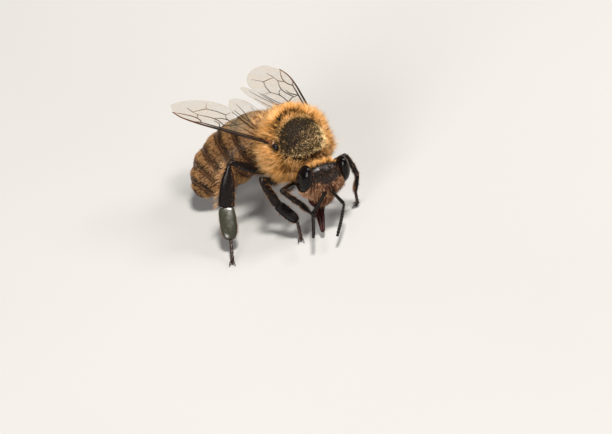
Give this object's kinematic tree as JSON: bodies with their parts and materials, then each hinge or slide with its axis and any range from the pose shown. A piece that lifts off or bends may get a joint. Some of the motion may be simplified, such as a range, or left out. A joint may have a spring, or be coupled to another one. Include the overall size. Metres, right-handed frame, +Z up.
{
  "type": "honey bee",
  "caption": "Honey bee standing with lowered head, half-open wings held back and a drooping banded abdomen.",
  "frame": {"origin": "middle of the bounding box's footprint, on the ground under the feet", "axes": "+X the way the thorax faces, +Y the bee's left, +Z up"},
  "size_m": [0.014, 0.0112, 0.007],
  "materials": {
    "coat": "matt",
    "face": "satin",
    "eye": "gloss",
    "banded": "satin",
    "membrane": "gloss",
    "brown": "satin",
    "black": "gloss"
  },
  "bodies": {
    "root": {"eye_left": "eye", "eye_right": "eye", "scape_left": "black", "flagellum_left": "black", "scape_right": "black", "flagellum_right": "black", "tegula_left": "black", "forewing_left": "membrane", "hindwing_left": "membrane", "tegula_right": "black", "forewing_right": "membrane", "hindwing_right": "membrane", "foreleg_left_femur": "black", "foreleg_left_tibia": "black", "foreleg_left_basitarsus": "black", "foreleg_left_tarsus": "brown", "foreleg_right_femur": "black", "foreleg_right_tibia": "black", "foreleg_right_basitarsus": "black", "foreleg_right_tarsus": "brown", "midleg_left_femur": "black", "midleg_left_tibia": "black", "midleg_left_basitarsus": "black", "midleg_left_tarsus": "brown", "midleg_right_femur": "black", "midleg_right_tibia": "black", "midleg_right_basitarsus": "black", "midleg_right_tarsus": "brown", "hindleg_left_femur": "black", "hindleg_left_tibia": "black", "hindleg_left_basitarsus": "black", "hindleg_left_tarsus": "brown", "hindleg_right_femur": "black", "hindleg_right_tibia": "black", "hindleg_right_basitarsus": "black", "hindleg_right_tarsus": "brown", "mandible_left": "brown", "mandible_right": "brown", "proboscis": "brown", "head": "face", "thorax": "coat", "abdomen": "banded"}
  },
  "joints": []
}
